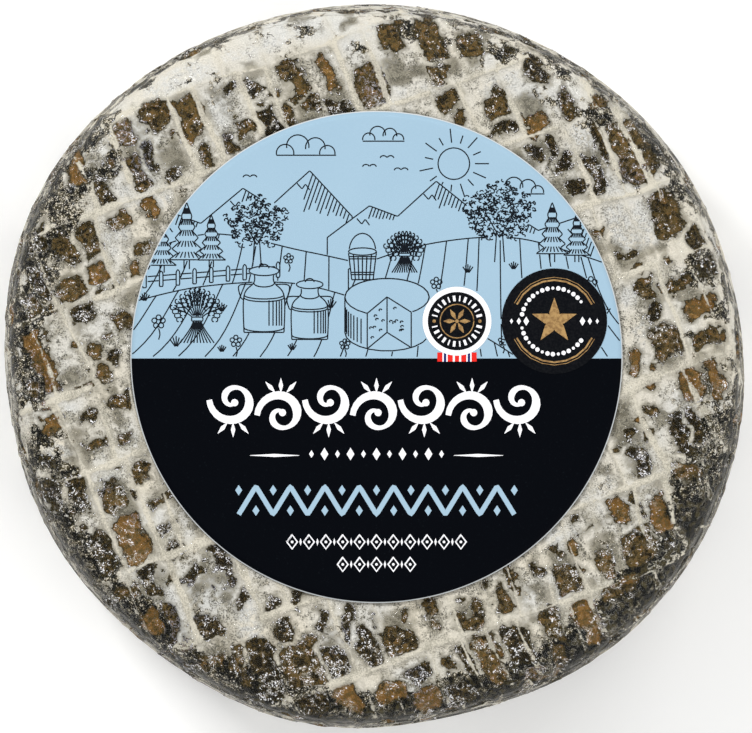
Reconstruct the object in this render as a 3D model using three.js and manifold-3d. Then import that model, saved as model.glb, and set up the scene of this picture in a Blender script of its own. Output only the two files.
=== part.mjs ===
// A whole wheel of blue cheese, drawn tight in clear film, with a round label on its upper face.
// Millimetres, +Z up. The origin lies under the middle of the wheel, on its underside.

import * as THREE from 'three';
import Module from 'manifold-3d';

const radians = THREE.MathUtils.degToRad;

// The wheel's outline, seen from above: a circle with a few low waves round it
const wheelRadius = 104.5;
const outlineWaves = [
  { lobes: 1, height: 0.74, degrees: 109 },
  { lobes: 2, height: 1.68, degrees: 162 },
  { lobes: 3, height: 0.4, degrees: 25 },
  { lobes: 4, height: 0.59, degrees: 152 },
  { lobes: 5, height: 0.15, degrees: -34 },
  { lobes: 6, height: 0.28, degrees: 24 },
  { lobes: 7, height: 0.26, degrees: -1 },
  { lobes: 8, height: 0.17, degrees: -12 },
];

// The wheel's section
const wheelHeight = 88;
const shoulderRadius = 10;
const footRadius = 8;
const sideBulge = 1.5;

// The label, a little behind the middle of the upper face
const labelRadius = 70;
const labelThickness = 0.3;
const labelCentre = new THREE.Vector2(0.51, 2.86);

// The draining cloth and its battens left long ridges on the upper face, running up to the
// right, and short ones across them. The cells in between are sunk. Each long ridge has its
// distance from the middle of the wheel, counted upwards on the face.
const longRidgeDirection = radians(20);
const longRidgeOffsets = [-104, -81.1, -56.9, -31, -0.1, 21.6, 45.8, 67.7, 91.6];
const crossRidgeDirection = radians(-68);
const crossRidgePitch = 10.07;
const firstCrossRidge = 3.4;
const ridgeWidth = 3;
const cellClearOfLabel = 2.5;
const cellClearOfOutline = 3.5;
const faceCellShare = 0.8;
const webBetween = { from: 0.3, to: 0.7 };

// Narrow slots point at the label, in a ring close round it.
const slotPlaces = 62;
const slotShare = 0.62;
const shortestSlotShare = 0.6;
const slotInner = labelRadius + 2;
const slotLength = 9.5;
const slotWidth = 3.2;

// The side has the same cells, between upright and level ridges.
const sideColumns = 48;
const sideRidgeHeights = [12, 34, 57, 78];
const sideCellShare = 0.62;
const sideStagger = 6;

// Every sunken cell
const cellDepth = 1.9;
const shallowestShare = 0.45;
const cornerCut = 1.3;
const edgeWander = 1.6;
const wallTaper = 0.12;
const mouthLift = 3;

// How finely the smooth surface is divided
const turns = 96;
const shoulderRows = 4;
const sideRows = 2;
const footRows = 3;
const labelSides = 96;

function outlineRadius(angle) {
  let radius = wheelRadius;
  for (const wave of outlineWaves) {
    radius += wave.height * Math.cos(wave.lobes * (angle - radians(wave.degrees)));
  }
  return radius;
}

function onOutline(angle, inset, height) {
  const radius = outlineRadius(angle) - inset;
  return new THREE.Vector3(radius * Math.cos(angle), radius * Math.sin(angle), height);
}

// A quarter round between a level face and the side. share runs from the level face to the side.
function cornerPoint(angle, share, radius, levelHeight, towardsSide) {
  const bend = share * Math.PI / 2;
  const inset = sideBulge + radius * (1 - Math.sin(bend));
  const height = levelHeight + towardsSide * radius * (1 - Math.cos(bend));
  return onOutline(angle, inset, height);
}

function shoulderPoint(angle, share) {
  return cornerPoint(angle, share, shoulderRadius, wheelHeight, -1);
}

// The side bulges most at half height. share runs from the shoulder down to the foot.
function sidePoint(angle, share) {
  const height = THREE.MathUtils.lerp(wheelHeight - shoulderRadius, footRadius, share);
  return onOutline(angle, sideBulge * (2 * share - 1) ** 2, height);
}

function footPoint(angle, share) {
  return cornerPoint(angle, 1 - share, footRadius, 0, 1);
}

// One closed ring of points for each step of a stretch of the section.
function ringsOf(pointAt, steps, firstStep) {
  const rings = [];
  for (let step = firstStep; step <= steps; step += 1) {
    const ring = [];
    for (let turn = 0; turn < turns; turn += 1) {
      ring.push(pointAt(2 * Math.PI * turn / turns, step / steps));
    }
    rings.push(ring);
  }
  return rings;
}

// Closes a stack of rings of equal size, from the top one down, with a level cap at each end.
function closedStack(rings) {
  const size = rings[0].length;
  const last = rings.length - 1;
  const at = (ring, turn) => ring * size + turn % size;
  const faces = [];
  for (let turn = 0; turn < size; turn += 1) {
    for (let ring = 0; ring < last; ring += 1) {
      faces.push(at(ring, turn), at(ring + 1, turn), at(ring + 1, turn + 1));
      faces.push(at(ring, turn), at(ring + 1, turn + 1), at(ring, turn + 1));
    }
  }
  for (let turn = 1; turn < size - 1; turn += 1) {
    faces.push(at(0, 0), at(0, turn), at(0, turn + 1));
    faces.push(at(last, 0), at(last, turn + 1), at(last, turn));
  }
  return { points: rings.flat(), faces };
}

function smoothWheel() {
  return closedStack([
    ...ringsOf(shoulderPoint, shoulderRows, 0),
    ...ringsOf(sidePoint, sideRows, 1),
    ...ringsOf(footPoint, footRows, 1),
  ]);
}

// Seeded random numbers from 0 to 1, so that the wheel is the same each time.
const seedFactor = 16807;
const seedModulus = 2147483647;
let seed = 11;
function chance() {
  seed = (seed * seedFactor) % seedModulus;
  return seed / seedModulus;
}

function wander() {
  return edgeWander * (chance() - 0.5);
}

// A rectangle with its corners cut, turning anticlockwise, each edge a little out of true.
function cellOutline(left, right, low, high) {
  const x0 = left + wander();
  const x1 = right + wander();
  const y0 = low + wander();
  const y1 = high + wander();
  const cut = Math.min(cornerCut, (x1 - x0) / 3, (y1 - y0) / 3);
  return [
    new THREE.Vector2(x0 + cut, y0),
    new THREE.Vector2(x1 - cut, y0),
    new THREE.Vector2(x1, y0 + cut),
    new THREE.Vector2(x1, y1 - cut),
    new THREE.Vector2(x1 - cut, y1),
    new THREE.Vector2(x0 + cut, y1),
    new THREE.Vector2(x0, y1 - cut),
    new THREE.Vector2(x0, y0 + cut),
  ];
}

// The solid that cuts one cell: its mouth stands clear of the rind, and its floor is smaller.
// place puts a point of the outline on the wheel, lifted off the rind by the given height.
function cellCutter(outline, place) {
  const middle = new THREE.Vector2();
  outline.forEach((corner) => middle.addScaledVector(corner, 1 / outline.length));
  const depth = cellDepth * THREE.MathUtils.lerp(shallowestShare, 1, chance());
  const mouth = outline.map((corner) => place(corner, mouthLift));
  const floor = outline.map((corner) => place(corner.clone().lerp(middle, wallTaper), -depth));
  return closedStack([mouth, floor]);
}

// The point of the upper face that lies at the given offsets across the two sets of ridges.
function ridgeCrossing(acrossCross, acrossLong) {
  const long = new THREE.Vector2(-Math.sin(longRidgeDirection), Math.cos(longRidgeDirection));
  const cross = new THREE.Vector2(-Math.sin(crossRidgeDirection), Math.cos(crossRidgeDirection));
  const area = cross.x * long.y - cross.y * long.x;
  const x = (acrossCross * long.y - acrossLong * cross.y) / area;
  const y = (acrossLong * cross.x - acrossCross * long.x) / area;
  return new THREE.Vector2(x, y);
}

function clearanceFromSide(point) {
  return outlineRadius(point.angle()) - sideBulge - point.length();
}

// The upper face is level, and bends down over the shoulder.
function onFace(point, lift) {
  const overShoulder = THREE.MathUtils.clamp(1 - clearanceFromSide(point) / shoulderRadius, 0, 1);
  const drop = shoulderRadius * (1 - Math.sqrt(1 - overShoulder ** 2));
  return new THREE.Vector3(point.x, point.y, wheelHeight - drop + lift);
}

function clearOfLabelAndOutline(point) {
  const fromLabel = point.distanceTo(labelCentre) - labelRadius;
  return fromLabel > cellClearOfLabel && clearanceFromSide(point) > cellClearOfOutline;
}

function faceCells() {
  const cells = [];
  const reach = Math.ceil(wheelRadius / crossRidgePitch);
  for (let row = 0; row < longRidgeOffsets.length - 1; row += 1) {
    const low = longRidgeOffsets[row] + ridgeWidth / 2;
    const high = longRidgeOffsets[row + 1] - ridgeWidth / 2;
    for (let column = -reach; column <= reach; column += 1) {
      const left = firstCrossRidge + column * crossRidgePitch + ridgeWidth / 2;
      const right = left + crossRidgePitch - ridgeWidth;
      for (const [bottom, top] of splitAcross(low, high)) {
        const outline = cellOutline(left, right, bottom, top);
        const corners = outline.map((corner) => ridgeCrossing(corner.x, corner.y));
        if (chance() < faceCellShare && corners.every(clearOfLabelAndOutline)) {
          cells.push(cellCutter(corners, onFace));
        }
      }
    }
  }
  return cells;
}

// The space between two long ridges holds two cells, with a web left between them.
function splitAcross(low, high) {
  const share = THREE.MathUtils.lerp(webBetween.from, webBetween.to, chance());
  const web = THREE.MathUtils.lerp(low, high, share);
  return [[low, web - ridgeWidth / 2], [web + ridgeWidth / 2, high]];
}

function slots() {
  const cells = [];
  for (let place = 0; place < slotPlaces; place += 1) {
    const angle = 2 * Math.PI * place / slotPlaces;
    const outer = slotInner + slotLength * THREE.MathUtils.lerp(shortestSlotShare, 1, chance());
    const outline = cellOutline(slotInner, outer, -slotWidth / 2, slotWidth / 2);
    const turned = outline.map((corner) => corner.rotateAround(new THREE.Vector2(), angle));
    if (chance() < slotShare) {
      cells.push(cellCutter(turned.map((corner) => corner.add(labelCentre)), onFace));
    }
  }
  return cells;
}

// On the side an outline's x is a length round the wheel, and its y is a height.
function onSide(point, lift) {
  return onOutline(point.x / wheelRadius, -lift, point.y);
}

function sideCells() {
  const cells = [];
  const pitch = 2 * Math.PI * wheelRadius / sideColumns;
  for (let row = 0; row < sideRidgeHeights.length - 1; row += 1) {
    for (let column = 0; column < sideColumns; column += 1) {
      const left = column * pitch + ridgeWidth / 2;
      const low = sideRidgeHeights[row] + ridgeWidth / 2 + sideStagger * chance();
      const high = sideRidgeHeights[row + 1] - ridgeWidth / 2 - sideStagger * chance();
      const outline = cellOutline(left, left + pitch - ridgeWidth, low, high);
      if (chance() < sideCellShare) {
        cells.push(cellCutter(outline, onSide));
      }
    }
  }
  return cells;
}

// Every cell and slot is cut from the smooth wheel.
async function wheelGeometry() {
  const wasm = await Module();
  wasm.setup();
  const solidOf = ({ points, faces }) => new wasm.Manifold(new wasm.Mesh({
    numProp: 3,
    vertProperties: new Float32Array(points.flatMap((point) => point.toArray())),
    triVerts: new Uint32Array(faces),
  }));
  let solid = solidOf(smoothWheel());
  for (const cell of [...faceCells(), ...slots(), ...sideCells()]) {
    solid = solid.subtract(solidOf(cell));
  }
  const mesh = solid.getMesh();
  const geometry = new THREE.BufferGeometry();
  geometry.setAttribute('position', new THREE.BufferAttribute(mesh.vertProperties, mesh.numProp));
  geometry.setIndex(new THREE.BufferAttribute(mesh.triVerts, 1));
  return geometry;
}

function labelGeometry() {
  const geometry = new THREE.CylinderGeometry(labelRadius, labelRadius, labelThickness, labelSides);
  geometry.rotateX(Math.PI / 2);
  return geometry;
}

const rind = new THREE.MeshStandardMaterial({ color: 0x8d8879, roughness: 0.45, metalness: 0 });
const printedLabel = new THREE.MeshStandardMaterial({ color: 0x5f6f7b, roughness: 0.5, metalness: 0 });

const cheeseWheel = new THREE.Mesh(await wheelGeometry(), rind);
cheeseWheel.name = 'cheese_wheel';

const label = new THREE.Mesh(labelGeometry(), printedLabel);
label.name = 'label';
label.position.set(labelCentre.x, labelCentre.y, wheelHeight + labelThickness / 2);

const blueCheese = new THREE.Group();
blueCheese.add(cheeseWheel, label);

// The outline isn't quite even, so the middle of its box is brought over the origin.
const middle = new THREE.Box3().setFromObject(blueCheese).getCenter(new THREE.Vector3());
blueCheese.position.set(-middle.x, -middle.y, 0);

export default blueCheese;
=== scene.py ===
"""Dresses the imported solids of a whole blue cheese: rind, clear film, printed label and studio."""

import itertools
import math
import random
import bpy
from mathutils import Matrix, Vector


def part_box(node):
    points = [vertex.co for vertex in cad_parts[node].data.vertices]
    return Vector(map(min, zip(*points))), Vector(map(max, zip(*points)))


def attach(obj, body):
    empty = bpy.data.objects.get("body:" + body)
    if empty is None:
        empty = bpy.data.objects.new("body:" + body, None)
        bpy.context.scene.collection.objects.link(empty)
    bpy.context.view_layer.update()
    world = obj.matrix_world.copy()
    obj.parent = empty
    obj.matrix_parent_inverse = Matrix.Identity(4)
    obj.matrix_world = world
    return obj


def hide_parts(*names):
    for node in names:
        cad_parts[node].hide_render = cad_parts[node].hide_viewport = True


bl_info = {
    "name": "Blue Cheese Wheel",
    "version": (1, 0, 0),
    "blender": (4, 5, 0),
    "location": "View3D > Sidebar > Cheese",
    "description": "Builds a film-wrapped wheel of blue cheese on its packed solids",
    "category": "Add Mesh",
}

import bmesh
import bpy
import numpy as np
from mathutils import Color, Matrix, Vector

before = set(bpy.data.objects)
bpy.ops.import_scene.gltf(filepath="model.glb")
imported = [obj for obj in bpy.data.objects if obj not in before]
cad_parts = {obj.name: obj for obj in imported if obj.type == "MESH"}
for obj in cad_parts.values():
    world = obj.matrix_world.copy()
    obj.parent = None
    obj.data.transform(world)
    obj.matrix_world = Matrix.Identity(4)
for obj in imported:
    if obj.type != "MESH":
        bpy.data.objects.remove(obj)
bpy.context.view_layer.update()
wheel_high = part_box("cheese_wheel")[1]
label_low, label_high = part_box("label")

MM = 0.001
LABEL_MIDDLE = (label_low + label_high).xy / 2 / MM
LABEL_RADIUS = (label_high.x - label_low.x) / 2 / MM
WHEEL_HEIGHT = wheel_high.z / MM

# From here to the settings, every length is in millimetres.

# The wheel's outline and section, as its solid has them
WHEEL_MIDDLE = LABEL_MIDDLE - Vector((0.51, 2.86))
WHEEL_RADIUS = 104.5
OUTLINE_WAVES = (  # waves round the wheel, height, where the first crest lies
    (1, 0.74, 109), (2, 1.68, 162), (3, 0.4, 25), (4, 0.59, 152),
    (5, 0.15, -34), (6, 0.28, 24), (7, 0.26, -1), (8, 0.17, -12),
)
SHOULDER = 10
FOOT = 8
BULGE = 1.5

# The ridges that the draining cloth left on the faces
LONG_RIDGE_TURN = math.radians(20)
CROSS_RIDGE_TURN = math.radians(-68)
LONG_RIDGES = (-104, -81.1, -56.9, -31, -0.1, 21.6, 45.8, 67.7, 91.6, 115)
CROSS_PITCH = 10.07
FIRST_CROSS_RIDGE = 3.4
ROW_PITCH = 22
SIDE_COLUMNS = 64
SIDE_RIDGE_FOOT = 8
COLUMN_WANDER = 0.8
ROW_WANDER = 0.2

# How wide a dry rib stays between two wet cells that meet
RIB = 1.6

# Tones of a wet cell, from near black to amber
DARK, BROWN, RUSSET, AMBER = 0.05, 0.4, 0.55, 0.95

# Wet cells of the upper face: x, y, size across, size along the cross ridges, tone
FACE_CELLS = (
    (-98, 36, 6.4, 9.7, DARK), (-88, 33, 6.6, 9.9, BROWN), (-95, 23, 5.4, 11.3, DARK),
    (-86, 22, 8.2, 6, RUSSET), (-92, 16, 3, 2.6, BROWN), (-95, 1, 6, 19.4, AMBER),
    (-94, 8, 2.4, 4.1, BROWN), (-80, 8, 11.4, 3, BROWN), (-77, 1, 10.1, 2.8, DARK),
    (-72, 13, 6, 6, BROWN), (-68, 27, 3.2, 3.2, AMBER), (-66, 33, 4.7, 4.2, BROWN),
    (-75, 23, 9.8, 2.6, DARK), (-93, -12, 3.8, 3.3, AMBER), (-94, -28, 3.8, 4.9, DARK),
    (-92, -37, 4.8, 8, DARK), (-83, -44, 5, 8.3, BROWN), (-69, -49, 8.8, 14.8, AMBER),
    (-71, -65, 8.7, 3, BROWN), (-64, -74, 10.3, 8.1, AMBER), (-54, -79, 4.2, 6.4, RUSSET),
    (-47, -74, 9, 7.3, DARK), (-47, -84, 8.5, 3.6, RUSSET), (-38, -86, 4.6, 13.7, BROWN),
    (-31, -86, 8.5, 18.8, DARK), (-21, -85, 12, 15.8, BROWN), (-4, -94, 2.8, 3.4, BROWN),
    (5, -93, 10.2, 5.9, AMBER), (13, -88, 9.1, 7, DARK), (21, -87, 3.4, 9.1, BROWN),
    (26, -84, 3.6, 8.4, DARK), (33, -83, 6.6, 16.1, RUSSET), (41, -80, 7.3, 13.8, DARK),
    (51, -74, 6.2, 11, BROWN), (61, -73, 5.6, 17.2, AMBER), (56, -53, 4.8, 6.4, AMBER),
    (60, -46, 6.7, 2.6, BROWN), (70, -63, 11.9, 4.9, RUSSET), (75, -51, 9, 11.2, BROWN),
    (84, -50, 4, 5.9, DARK), (81, -43, 5.4, 11.7, AMBER), (74, -40, 3.6, 8.4, BROWN),
    (89, -30, 7.5, 5.3, RUSSET), (73, -17, 9.3, 2.8, AMBER), (74, -21, 11.1, 2.8, BROWN),
    (87, -19, 4.3, 12.9, DARK), (91, -17, 3.6, 11.5, DARK), (79, -12, 4.1, 2.4, BROWN),
    (79, -5, 3.4, 2.8, AMBER), (78, 0, 3.4, 2.8, AMBER), (90, -5, 6.3, 9, AMBER),
    (97, -4, 4.1, 11.1, AMBER), (79, 15, 4.5, 5.6, DARK), (83, 7, 9.6, 9.6, BROWN),
    (93, 17, 9.3, 5.6, AMBER), (95, 8, 9.1, 3.5, BROWN), (86, 23, 8.4, 3.3, BROWN),
    (83, 31, 3.3, 2.4, AMBER), (91, 36, 3.9, 10.5, DARK), (83, 43, 8.2, 13.1, BROWN),
    (64, 38, 3.7, 2.6, RUSSET), (72, 32, 6.4, 2.2, DARK), (74, 27, 5, 6, BROWN),
    (73, 61, 11.2, 19.3, BROWN), (65, 63, 3.1, 13.2, DARK), (65, 76, 7.4, 3.1, RUSSET),
    (46, 69, 6.3, 7.4, AMBER), (28, 91, 8, 6.4, BROWN), (46, 85, 6.6, 8.3, DARK),
    (38, 90, 3.4, 2.4, DARK), (24, 72, 2.4, 6.6, BROWN), (35, 74, 6.9, 8.5, BROWN),
    (34, 66, 14.4, 3.5, DARK), (46, 61, 4.3, 5.4, DARK), (54, 58, 5.2, 4.7, DARK),
    (57, 51, 5.7, 4.1, DARK), (-13, 82, 3.4, 12.8, AMBER), (-18, 74, 5.3, 5.3, BROWN),
    (-23, 79, 3.7, 3.7, AMBER), (-33, 81, 2.8, 3, AMBER), (-31, 75, 8.7, 3.9, BROWN),
    (-25, 71, 2.8, 7.1, BROWN), (-36, 68, 8, 4.8, BROWN), (-41, 79, 5.5, 2.6, DARK),
    (-41, 64, 3.2, 6.4, BROWN), (-48, 60, 2.8, 8.7, BROWN), (-64, 60, 3.1, 8.2, DARK),
    (-62, 71, 8.3, 8.9, BROWN), (-57, 68, 3.2, 3.2, AMBER), (-85, 56, 4.9, 10.9, AMBER),
    (-78, 56, 8.8, 3, BROWN),
)

# Grey bruises, where the rind shows through thin mould: x, y, size across, size along
BRUISES = (
    (-81, 36, 7.9, 6.8), (-62, 41, 3.9, 5.5), (-72, 39, 6.8, 2.4), (-83, -32, 4.8, 11.7),
    (-77, -56, 6.4, 9.7), (31, -72, 3.5, 5.7), (66, -54, 7.1, 12), (88, -38, 5.6, 10),
    (81, -34, 4.1, 5.7), (68, 40, 3.5, 2.6), (-53, 71, 4.4, 15.8), (-57, 59, 8.5, 10.1),
    (-88, 60, 5, 7), (-70, 20, 6, 5), (75, 36, 8, 12), (76, 20, 4, 8), (20, 85, 8, 5),
    (-92, 44, 5, 6), (60, -62, 6, 5), (-60, -60, 8, 4), (8, -80, 9, 4), (-12, -78, 6, 4),
)

# Patches of white powdery mould: x, y, size across, size along
POWDER = (
    (-66, 50, 15, 9), (-74, 36, 9, 5), (36, 79, 12, 6), (74, 41, 13, 15), (68, 50, 9, 9),
    (58, 66, 8, 11), (72, 20, 5, 5), (75, 8, 4, 9), (65, -37, 12, 10), (54, -48, 10, 5),
    (49, -61, 5, 5), (53, -65, 5, 6), (-36, -72, 7, 12), (-74, -31, 10, 5), (-91, -24, 9, 7),
    (-66, -58, 7, 5), (-56, -67, 4, 8), (-80, 18, 8, 4), (12, 77, 14, 4), (-5, -76, 10, 4),
    (-44, 72, 5, 9), (0, 96, 24, 5), (-30, 93, 30, 6), (-55, 82, 22, 7),
)

# Narrow cells that point at the label: bearing, distance from its middle, length, width, tone
SLOTS = (
    (186, 83.9, 5.8, 2.6, AMBER), (187, 75.6, 5.2, 2.6, AMBER), (192, 83.3, 6.4, 2.4, DARK),
    (192, 75.6, 4.7, 2, DARK), (197, 82.7, 7.8, 2.6, BROWN), (198, 74.7, 4.9, 2.4, BROWN),
    (203, 82.7, 8.9, 2.8, BROWN), (203, 73.5, 6.6, 2.4, BROWN), (209, 75.7, 8.7, 2.2, DARK),
    (214, 75.0, 7.8, 2.8, BROWN), (219, 76.7, 7.7, 2.9, DARK), (224, 80.2, 8.5, 3.2, DARK),
    (227, 86.8, 4.3, 3.4, BROWN), (230, 81.1, 8, 3, DARK), (230, 74, 3.1, 2, DARK),
    (235, 77.5, 6, 2.4, DARK), (241, 79, 6, 2.6, DARK), (247, 77.8, 7.2, 2.4, DARK),
    (252, 72.7, 5.8, 2.2, DARK), (258, 76.7, 6.9, 2.9, DARK), (264, 75.8, 10.7, 2.4, DARK),
    (270, 75, 6, 2.2, DARK), (276, 76, 7, 2.2, BROWN), (282, 74.6, 9.4, 3.2, BROWN),
    (289, 75, 5, 2.2, DARK), (296, 74.9, 9.2, 2.8, BROWN), (301, 74.2, 8.9, 2.6, BROWN),
    (307, 75, 6, 2.4, DARK), (313, 76, 5, 2.2, BROWN), (320, 74, 5, 2.4, DARK),
)

# On the label, from its middle: where its edge has come loose, and each seal with its radius
LOOSE_EDGE = (-45.5, -52.5)
LEFT_SEAL = (22.9, 10.2, 9.8)
RIGHT_SEAL = (50.6, 10.2, 15)
LINE_WIDTH = 0.36
LINE_STEP = 0.45

# How much of the shoulder dark mould covers, by bearing. The shares are partly painted shade: they
# are highest at the lower right, which faces away from the key light.
MOULD_BEARINGS = (0, 30, 55, 75, 95, 125, 148, 165, 185, 205, 225, 250, 280, 310, 335, 352, 360)
DARK_MOULD_AND_SHADE_SHARES = (0.3, 0.34, 0.4, 0.34, 0.22, 0.25, 0.46, 0.68, 0.5, 0.56, 0.66, 0.74, 0.96, 1.15,
                1.1, 0.66, 0.3)

# A spun piece is made from this many slices
SLICES = 20

# Steps across the face below the label, the ring round it, shoulder, side, foot and underside
RIND_STEPS = (6, 40, 22, 40, 8, 32)
FILM_STEPS = (4, 28, 16, 32, 6, 16)

# How deep in a wet cell its wall starts and ends, on the rind and in the slacker film
RIND_WALL = (-0.4, 1.4)
FILM_WALL = (0.4, 3.2)

# Depths below the smooth wheel
FILM_INSET = 0.05
RIDGE_INSET = 0.2
MOULD_SINK = 0.4
CELL_SINK = 1.5
UNDER_LABEL_SINK = 0.35
LABEL_FOOT = WHEEL_HEIGHT + 0.02
LABEL_TOP = WHEEL_HEIGHT + 0.24
INK_THICKNESS = 0.012
INK_LAYER = 0.015


def screen(red, green, blue):
    """A colour as a screen shows it, from 0 to 255, made linear."""
    return tuple(Color((red / 255, green / 255, blue / 255)).from_srgb_to_scene_linear())


def ramp(values, start, end):
    """0 at start and 1 at end, with a smooth rise between."""
    share = np.clip((values - start) / (end - start), 0, 1)
    return share * share * (3 - 2 * share)


def swell(points, size, seed):
    """Smooth random values, from -1 to 1, in swells of the given size."""
    heights = np.random.default_rng(seed).uniform(-1, 1, 65536)
    corner = np.floor(points / size).astype(np.int64)
    share = points / size - corner
    share = share * share * (3 - 2 * share)
    total = np.zeros(len(points))
    for step in itertools.product((0, 1), repeat=3):
        key = (corner + step) @ np.array((73856093, 19349663, 83492791)) % len(heights)
        total += heights[key] * np.where(step, share, 1 - share).prod(axis=1)
    return total


# ---------------------------------------------------------------- the wheel's form


def outline_wave(bearings):
    """How far the outline stands out from a circle."""
    return sum(
        height * np.cos(lobes * (bearings - math.radians(crest)))
        for lobes, height, crest in OUTLINE_WAVES
    )


def add_run(shape, start, end, steps):
    """A straight run of edges in the section, from one (radius, height) to the other."""
    ends = [shape.verts.new((radius, 0, height)) for radius, height in (start, end)]
    edge = shape.edges.new(ends)
    if steps > 1:
        bmesh.ops.subdivide_edges(shape, edges=[edge], cuts=steps - 1)


def add_round(shape, start, centre, steps):
    """A quarter round of edges in the section, turning from up to out to down."""
    vertex = shape.verts.new((start[0], 0, start[1]))
    bmesh.ops.spin(
        shape, geom=[vertex], cent=(centre[0], 0, centre[1]), axis=(0, 1, 0),
        angle=math.pi / 2, steps=steps,
    )


def spun_mesh(section, turns):
    """The closed solid that a half section makes when it is spun round the upright axis.

    The section sweeps one slice, and copies of the slice go round, which is quicker.
    """
    bmesh.ops.remove_doubles(section, verts=section.verts, dist=0.001)
    slice_angle = 2 * math.pi / SLICES
    bmesh.ops.spin(
        section, geom=section.verts[:] + section.edges[:], cent=(0, 0, 0), axis=(0, 0, 1),
        angle=slice_angle, steps=turns // SLICES,
    )
    bmesh.ops.spin(
        section, geom=section.verts[:] + section.edges[:] + section.faces[:], cent=(0, 0, 0),
        axis=(0, 0, 1), angle=2 * math.pi - slice_angle, steps=SLICES - 1, use_duplicate=True,
    )
    bmesh.ops.remove_doubles(section, verts=section.verts, dist=0.001)
    bmesh.ops.recalc_face_normals(section, faces=section.faces)
    return mesh_from(section)


def smooth_wheel(turns, steps):
    """The wheel without its relief: its mesh, its points and the way out at each of them."""
    face_steps, ring_steps, shoulder_steps, side_steps, foot_steps, under_steps = steps
    side = WHEEL_RADIUS - BULGE
    face, top = side - SHOULDER, WHEEL_HEIGHT
    ring = LABEL_RADIUS - 4
    shape = bmesh.new()
    add_run(shape, (0, top), (ring, top), face_steps)
    add_run(shape, (ring, top), (face, top), ring_steps)
    add_round(shape, (face, top), (face, top - SHOULDER), shoulder_steps)
    add_run(shape, (side, top - SHOULDER), (side, FOOT), side_steps)
    add_round(shape, (side, FOOT), (side - FOOT, FOOT), foot_steps)
    add_run(shape, (side - FOOT, 0), (0, 0), under_steps)
    mesh = spun_mesh(shape, turns)
    points = mesh_points(mesh)
    radius = np.hypot(points[:, 0], points[:, 1])
    bearing = np.arctan2(points[:, 1], points[:, 0])
    height = points[:, 2]
    lean = radius - np.minimum(radius, face)
    rise = height - np.clip(height, FOOT, top - SHOULDER)
    length = np.maximum(np.hypot(lean, rise), 1e-6)
    outward = np.column_stack([np.cos(bearing) * lean, np.sin(bearing) * lean, rise])
    outward /= length[:, None]
    share = (height - FOOT) / (top - SHOULDER - FOOT)
    bulge = BULGE * np.clip(1 - (2 * share - 1) ** 2, 0, 1)
    radius = radius + bulge + outline_wave(bearing) * ramp(radius, 60, face)
    x = radius * np.cos(bearing) + WHEEL_MIDDLE.x
    y = radius * np.sin(bearing) + WHEEL_MIDDLE.y
    return mesh, np.column_stack([x, y, height]), outward


def mesh_from(shape):
    mesh = bpy.data.meshes.new("solid")
    shape.to_mesh(mesh)
    shape.free()
    return mesh


def mesh_points(mesh):
    points = np.empty(len(mesh.vertices) * 3)
    mesh.vertices.foreach_get("co", points)
    return points.reshape(-1, 3)


# ---------------------------------------------------------------- the rind's pattern


def box_depth(across, along, width, length, corner):
    """How deep places lie inside a box with round corners, and less than 0 outside it."""
    over = np.abs(across) - width / 2 + corner
    beyond = np.abs(along) - length / 2 + corner
    outside = np.hypot(np.maximum(over, 0), np.maximum(beyond, 0))
    return corner - outside - np.minimum(np.maximum(over, beyond), 0)


def cell_depths(u, v, cells, period=math.inf, rib=-math.inf):
    """How deep places lie inside the nearest cell, and that cell's tone.

    Where two cells meet, a dry rib of the given width stays between them.
    """
    depth = np.full(len(u), -9.0)
    second = depth.copy()
    tone = np.zeros(len(u))
    for cell_u, cell_v, width, length, turn, cell_tone in cells:
        du, dv = u - cell_u, v - cell_v
        if period < math.inf:
            du = (du + period / 2) % period - period / 2
        near = np.flatnonzero(np.abs(du) + np.abs(dv) < width + length + 9)
        along = du[near] * math.cos(turn) + dv[near] * math.sin(turn)
        across = dv[near] * math.cos(turn) - du[near] * math.sin(turn)
        corner = 0.3 * min(width, length)
        found = box_depth(across, along, width, length, corner)
        closer = near[found > depth[near]]
        second[near] = np.maximum(second[near], np.minimum(found, depth[near]))
        depth[closer] = found[found > depth[near]]
        tone[closer] = cell_tone
    return np.minimum(depth, depth - second - rib), tone


def ridge_grid(points):
    """Where points of a level face lie in its grid of ridges: whole numbers lie on a ridge."""
    x = points[:, 0] + 1.1 * swell(points, 15, 1) + 0.4 * swell(points, 5, 51)
    y = points[:, 1] + 1.1 * swell(points, 15, 2) + 0.4 * swell(points, 5, 52)
    across_long = y * math.cos(LONG_RIDGE_TURN) - x * math.sin(LONG_RIDGE_TURN)
    across_cross = y * math.cos(CROSS_RIDGE_TURN) - x * math.sin(CROSS_RIDGE_TURN)
    column = (across_cross - FIRST_CROSS_RIDGE) / CROSS_PITCH
    return column, np.interp(across_long, LONG_RIDGES, range(len(LONG_RIDGES)))


def crest(column, row):
    """1 on the crest of a ridge, and 0 beside it."""
    beside = np.minimum(
        np.abs(column - np.round(column)) * CROSS_PITCH, np.abs(row - np.round(row)) * ROW_PITCH
    )
    return ramp(-beside, -1.5, -0.3)


def lattice_cells(rows, pitch, first, columns, share, seed):
    """Cells between the ridges, with some left out and some split in two."""
    pick = random.Random(seed)
    cells = []
    for low, high in zip(rows, rows[1:]):
        for column in columns:
            split = pick.uniform(0.3, 0.7) * (high - low)
            for start, end in ((low, low + split), (low + split, high)):
                size = end - start - pick.uniform(1, 4)
                width = pitch * pick.uniform(0.35, 0.85)
                tone = pick.choice((DARK, DARK, BROWN, BROWN, RUSSET, AMBER))
                if pick.random() > share or size < 2:
                    continue
                middle = (start + end) / 2 + pick.uniform(-1, 1)
                place = first + (column + 0.5) * pitch + pick.uniform(-1.2, 1.2)
                cells.append((place, middle, width, size, tone))
    return cells


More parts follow.
